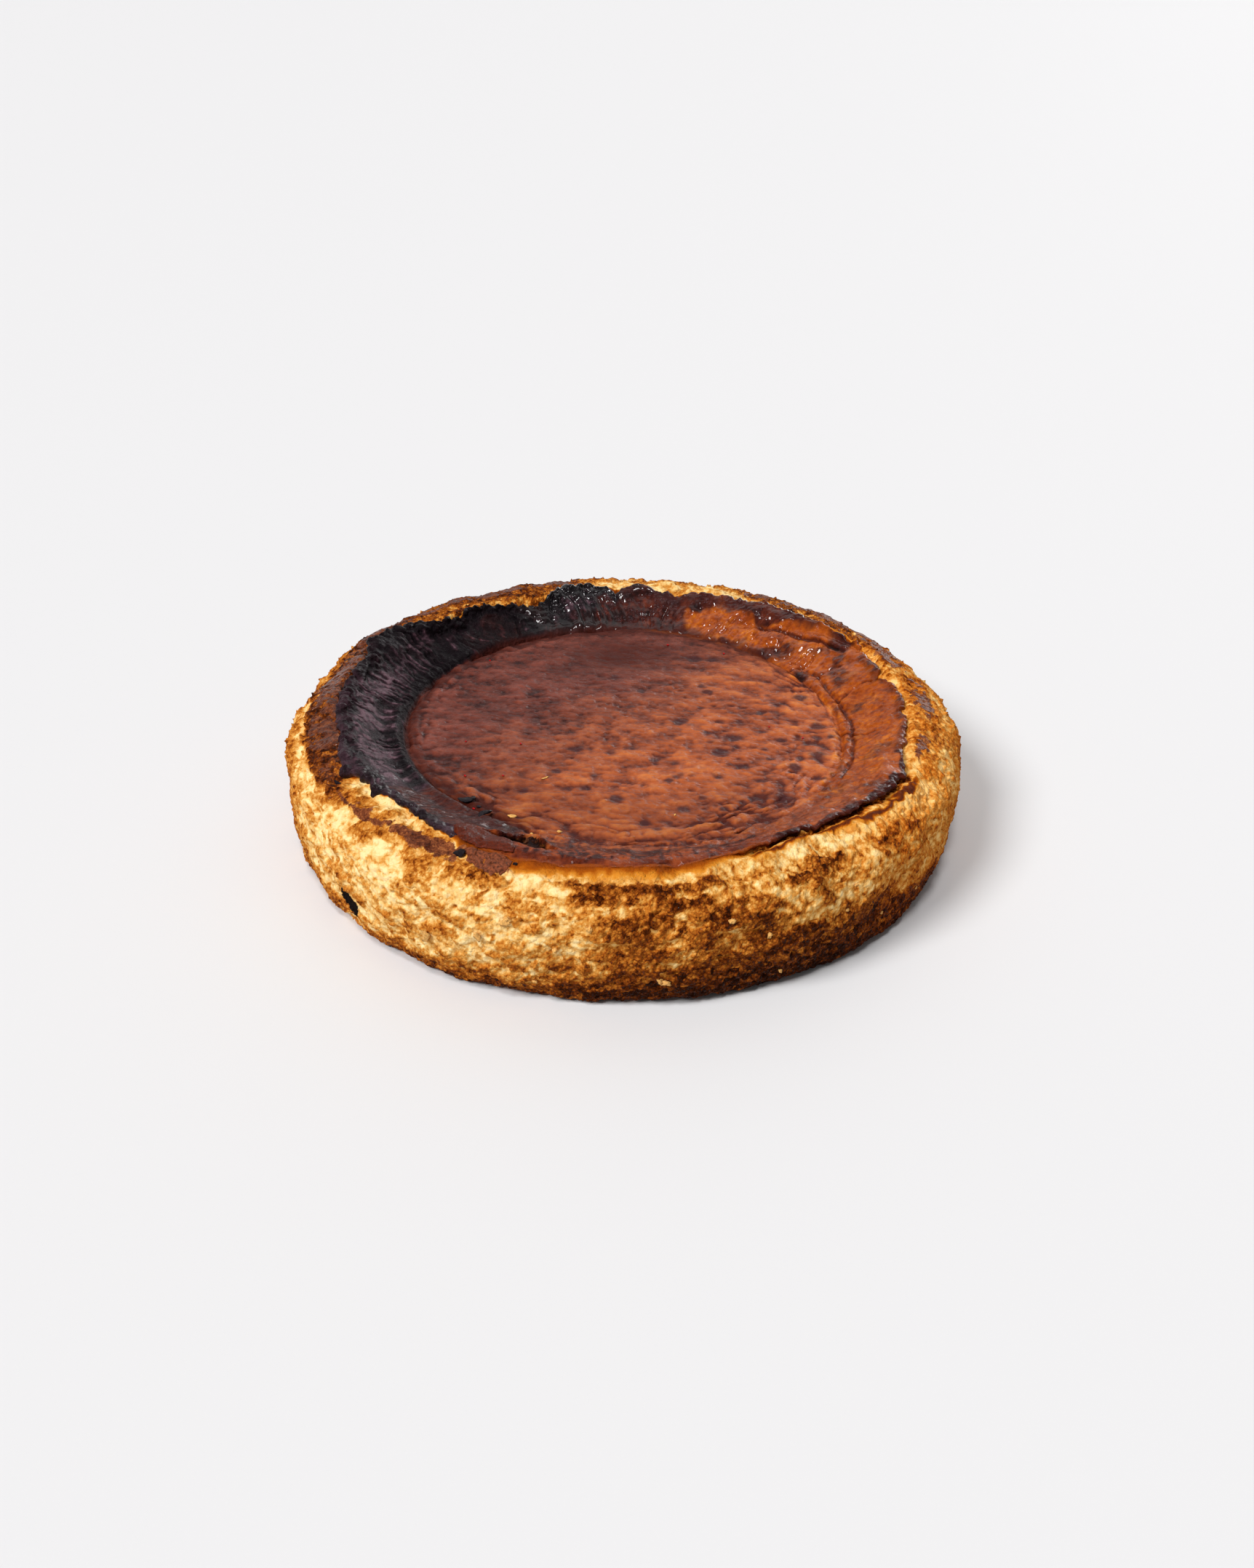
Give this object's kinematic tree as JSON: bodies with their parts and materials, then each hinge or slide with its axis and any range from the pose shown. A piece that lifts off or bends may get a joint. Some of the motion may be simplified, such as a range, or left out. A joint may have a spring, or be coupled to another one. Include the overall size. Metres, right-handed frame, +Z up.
{
  "type": "basque burnt cheesecake",
  "caption": "Whole round burnt-top cheesecake: crumbly pale side toasted brown, raised charred rim and a sunken, glossy dark brown top.",
  "frame": {"origin": "centre of the flat base", "axes": "+Z up through the middle of the cake, +Y towards the side that is at the back in the picture, +X to the right of it"},
  "size_m": [0.241, 0.2369, 0.0468],
  "materials": {
    "cheesecake": "baked cheesecake: dull crumb with a browned, partly glossy skin"
  },
  "bodies": {
    "root": {"cheesecake": "cheesecake"}
  },
  "joints": []
}
